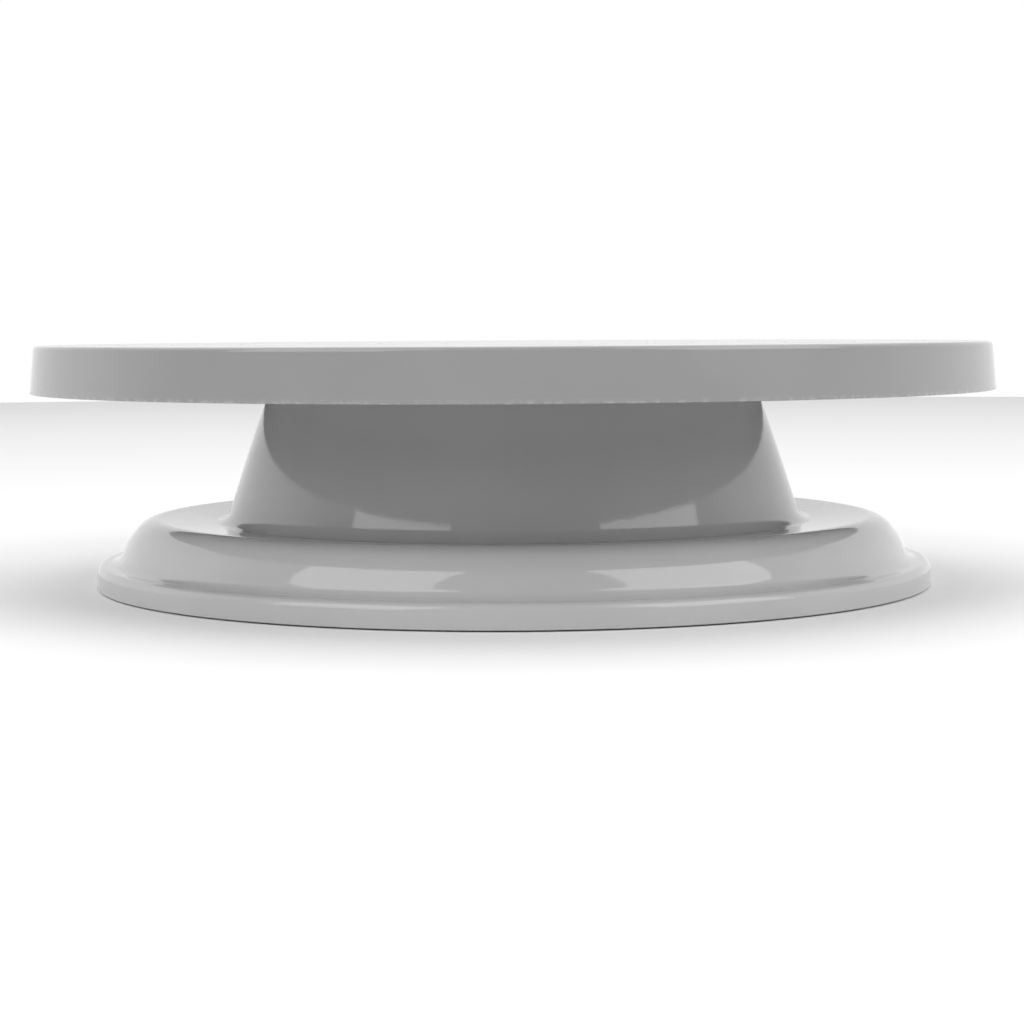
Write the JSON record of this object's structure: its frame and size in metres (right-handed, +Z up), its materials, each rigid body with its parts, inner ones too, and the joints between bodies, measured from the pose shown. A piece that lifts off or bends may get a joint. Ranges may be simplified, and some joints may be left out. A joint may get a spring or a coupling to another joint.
{
  "type": "lazy susan turntable",
  "caption": "Round cake-decorating lazy susan: a skirted plate that spins on a caged ball race above a flared, hollow pedestal with rubber feet.",
  "frame": {"origin": "on the table, on the axis of rotation, under the middle of the base", "axes": "+Z up along the axis of rotation; +X and +Y are any two directions at right angles, with the plate's first long rib along +X"},
  "size_m": [0.28, 0.28, 0.07],
  "materials": {
    "white_plastic": "glossy",
    "steel": "satin",
    "ball_steel": "polished",
    "brass": "satin",
    "nylon": "matte",
    "acetal": "satin",
    "rubber": "matte"
  },
  "bodies": {
    "base": {"pedestal_shell": "white_plastic", "lower_race": "steel", "hub_bush": "acetal", "hub_cap": "white_plastic", "rubber_foot_1": "rubber", "rubber_foot_2": "rubber", "rubber_foot_3": "rubber", "rubber_foot_4": "rubber", "rubber_foot_5": "rubber", "rubber_foot_6": "rubber"},
    "plate": {"turntable_plate": "white_plastic", "upper_race": "steel", "threaded_insert": "brass", "pivot_bolt": "steel", "thrust_washer": "steel"},
    "retainer": {"ball_retainer": "nylon"},
    "ball_1": {"bearing_ball_1": "ball_steel"},
    "ball_2": {"bearing_ball_2": "ball_steel"},
    "ball_3": {"bearing_ball_3": "ball_steel"},
    "ball_4": {"bearing_ball_4": "ball_steel"},
    "ball_5": {"bearing_ball_5": "ball_steel"},
    "ball_6": {"bearing_ball_6": "ball_steel"},
    "ball_7": {"bearing_ball_7": "ball_steel"},
    "ball_8": {"bearing_ball_8": "ball_steel"},
    "ball_9": {"bearing_ball_9": "ball_steel"},
    "ball_10": {"bearing_ball_10": "ball_steel"},
    "ball_11": {"bearing_ball_11": "ball_steel"},
    "ball_12": {"bearing_ball_12": "ball_steel"}
  },
  "joints": [
    {"name": "plate_spin", "type": "hinge", "parent": "base", "child": "plate", "pos_m": [0, 0, 0.06297], "axis": [0, 0, 1], "continuous": true},
    {"name": "retainer_spin", "type": "hinge", "parent": "base", "child": "retainer", "pos_m": [0, 0, 0.06297], "axis": [0, 0, 1], "continuous": true},
    {"name": "ball_1_roll", "type": "hinge", "parent": "retainer", "child": "ball_1", "pos_m": [0.054, 0, 0.06297], "axis": [1, 0, 0], "continuous": true},
    {"name": "ball_2_roll", "type": "hinge", "parent": "retainer", "child": "ball_2", "pos_m": [0.04677, 0.027, 0.06297], "axis": [0.866, 0.5, 0], "continuous": true},
    {"name": "ball_3_roll", "type": "hinge", "parent": "retainer", "child": "ball_3", "pos_m": [0.027, 0.04677, 0.06297], "axis": [0.5, 0.866, 0], "continuous": true},
    {"name": "ball_4_roll", "type": "hinge", "parent": "retainer", "child": "ball_4", "pos_m": [0, 0.054, 0.06297], "axis": [0, 1, 0], "continuous": true},
    {"name": "ball_5_roll", "type": "hinge", "parent": "retainer", "child": "ball_5", "pos_m": [-0.027, 0.04677, 0.06297], "axis": [-0.5, 0.866, 0], "continuous": true},
    {"name": "ball_6_roll", "type": "hinge", "parent": "retainer", "child": "ball_6", "pos_m": [-0.04677, 0.027, 0.06297], "axis": [-0.866, 0.5, 0], "continuous": true},
    {"name": "ball_7_roll", "type": "hinge", "parent": "retainer", "child": "ball_7", "pos_m": [-0.054, 0, 0.06297], "axis": [-1, 0, 0], "continuous": true},
    {"name": "ball_8_roll", "type": "hinge", "parent": "retainer", "child": "ball_8", "pos_m": [-0.04677, -0.027, 0.06297], "axis": [-0.866, -0.5, 0], "continuous": true},
    {"name": "ball_9_roll", "type": "hinge", "parent": "retainer", "child": "ball_9", "pos_m": [-0.027, -0.04677, 0.06297], "axis": [-0.5, -0.866, 0], "continuous": true},
    {"name": "ball_10_roll", "type": "hinge", "parent": "retainer", "child": "ball_10", "pos_m": [0, -0.054, 0.06297], "axis": [0, -1, 0], "continuous": true},
    {"name": "ball_11_roll", "type": "hinge", "parent": "retainer", "child": "ball_11", "pos_m": [0.027, -0.04677, 0.06297], "axis": [0.5, -0.866, 0], "continuous": true},
    {"name": "ball_12_roll", "type": "hinge", "parent": "retainer", "child": "ball_12", "pos_m": [0.04677, -0.027, 0.06297], "axis": [0.866, -0.5, 0], "continuous": true}
  ],
  "couplings": [
    {"joint": "retainer_spin", "follows": "plate_spin", "ratio": 0.5},
    {"joint": "ball_1_roll", "follows": "plate_spin", "ratio": -9},
    {"joint": "ball_2_roll", "follows": "plate_spin", "ratio": -9},
    {"joint": "ball_3_roll", "follows": "plate_spin", "ratio": -9},
    {"joint": "ball_4_roll", "follows": "plate_spin", "ratio": -9},
    {"joint": "ball_5_roll", "follows": "plate_spin", "ratio": -9},
    {"joint": "ball_6_roll", "follows": "plate_spin", "ratio": -9},
    {"joint": "ball_7_roll", "follows": "plate_spin", "ratio": -9},
    {"joint": "ball_8_roll", "follows": "plate_spin", "ratio": -9},
    {"joint": "ball_9_roll", "follows": "plate_spin", "ratio": -9},
    {"joint": "ball_10_roll", "follows": "plate_spin", "ratio": -9},
    {"joint": "ball_11_roll", "follows": "plate_spin", "ratio": -9},
    {"joint": "ball_12_roll", "follows": "plate_spin", "ratio": -9}
  ]
}
